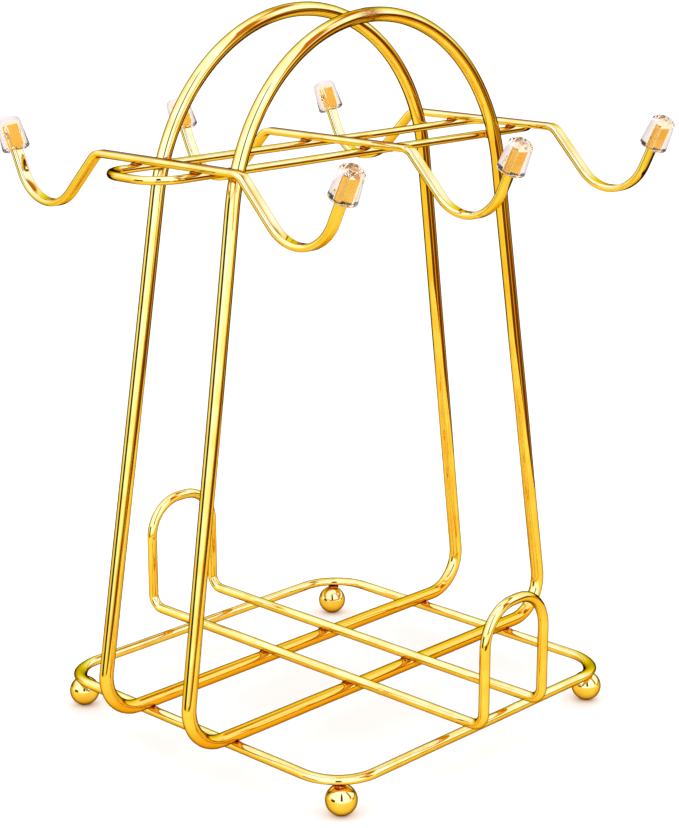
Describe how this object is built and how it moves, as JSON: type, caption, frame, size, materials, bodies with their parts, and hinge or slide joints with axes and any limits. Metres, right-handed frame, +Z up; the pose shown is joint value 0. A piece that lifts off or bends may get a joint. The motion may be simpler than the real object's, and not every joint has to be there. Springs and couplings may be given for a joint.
{
  "type": "mug tree",
  "caption": "Wire mug tree on ball feet: two arched hoops, a saucer rack across their feet, and a carrier loop with flat strips bent into mug hooks with clear soft tip caps.",
  "frame": {"origin": "middle of the footprint, on the surface the ball feet stand on", "axes": "+Z up; +X along the planes of the two hoops; +Y along the hook strips and the saucer rails; front is -Y"},
  "size_m": [0.2344, 0.2082, 0.31],
  "materials": {
    "gold_wire": "polished gold electroplate on steel wire",
    "clear_cap": "clear soft vinyl, glossy"
  },
  "bodies": {
    "frame": {"base_ring": "gold_wire", "ball_foot_front_left": "gold_wire", "ball_foot_front_right": "gold_wire", "ball_foot_rear_left": "gold_wire", "ball_foot_rear_right": "gold_wire", "hoop_front": "gold_wire", "hoop_rear": "gold_wire", "saucer_rack": "gold_wire", "hook_carrier": "gold_wire", "hook_strip_left": "gold_wire", "hook_strip_middle": "gold_wire", "hook_strip_right": "gold_wire"},
    "cap_left_front": {"tip_cap_left_front": "clear_cap"},
    "cap_left_rear": {"tip_cap_left_rear": "clear_cap"},
    "cap_middle_front": {"tip_cap_middle_front": "clear_cap"},
    "cap_middle_rear": {"tip_cap_middle_rear": "clear_cap"},
    "cap_right_front": {"tip_cap_right_front": "clear_cap"},
    "cap_right_rear": {"tip_cap_right_rear": "clear_cap"}
  },
  "joints": [
    {"name": "cap_left_front_pull", "type": "slide", "parent": "frame", "child": "cap_left_front", "axis": [0, -0.4226, 0.9063], "range_m": [0, 0.02]},
    {"name": "cap_left_rear_pull", "type": "slide", "parent": "frame", "child": "cap_left_rear", "axis": [0, 0.4226, 0.9063], "range_m": [0, 0.02]},
    {"name": "cap_middle_front_pull", "type": "slide", "parent": "frame", "child": "cap_middle_front", "axis": [0, -0.4226, 0.9063], "range_m": [0, 0.02]},
    {"name": "cap_middle_rear_pull", "type": "slide", "parent": "frame", "child": "cap_middle_rear", "axis": [0, 0.4226, 0.9063], "range_m": [0, 0.02]},
    {"name": "cap_right_front_pull", "type": "slide", "parent": "frame", "child": "cap_right_front", "axis": [0, -0.4226, 0.9063], "range_m": [0, 0.02]},
    {"name": "cap_right_rear_pull", "type": "slide", "parent": "frame", "child": "cap_right_rear", "axis": [0, 0.4226, 0.9063], "range_m": [0, 0.02]}
  ]
}
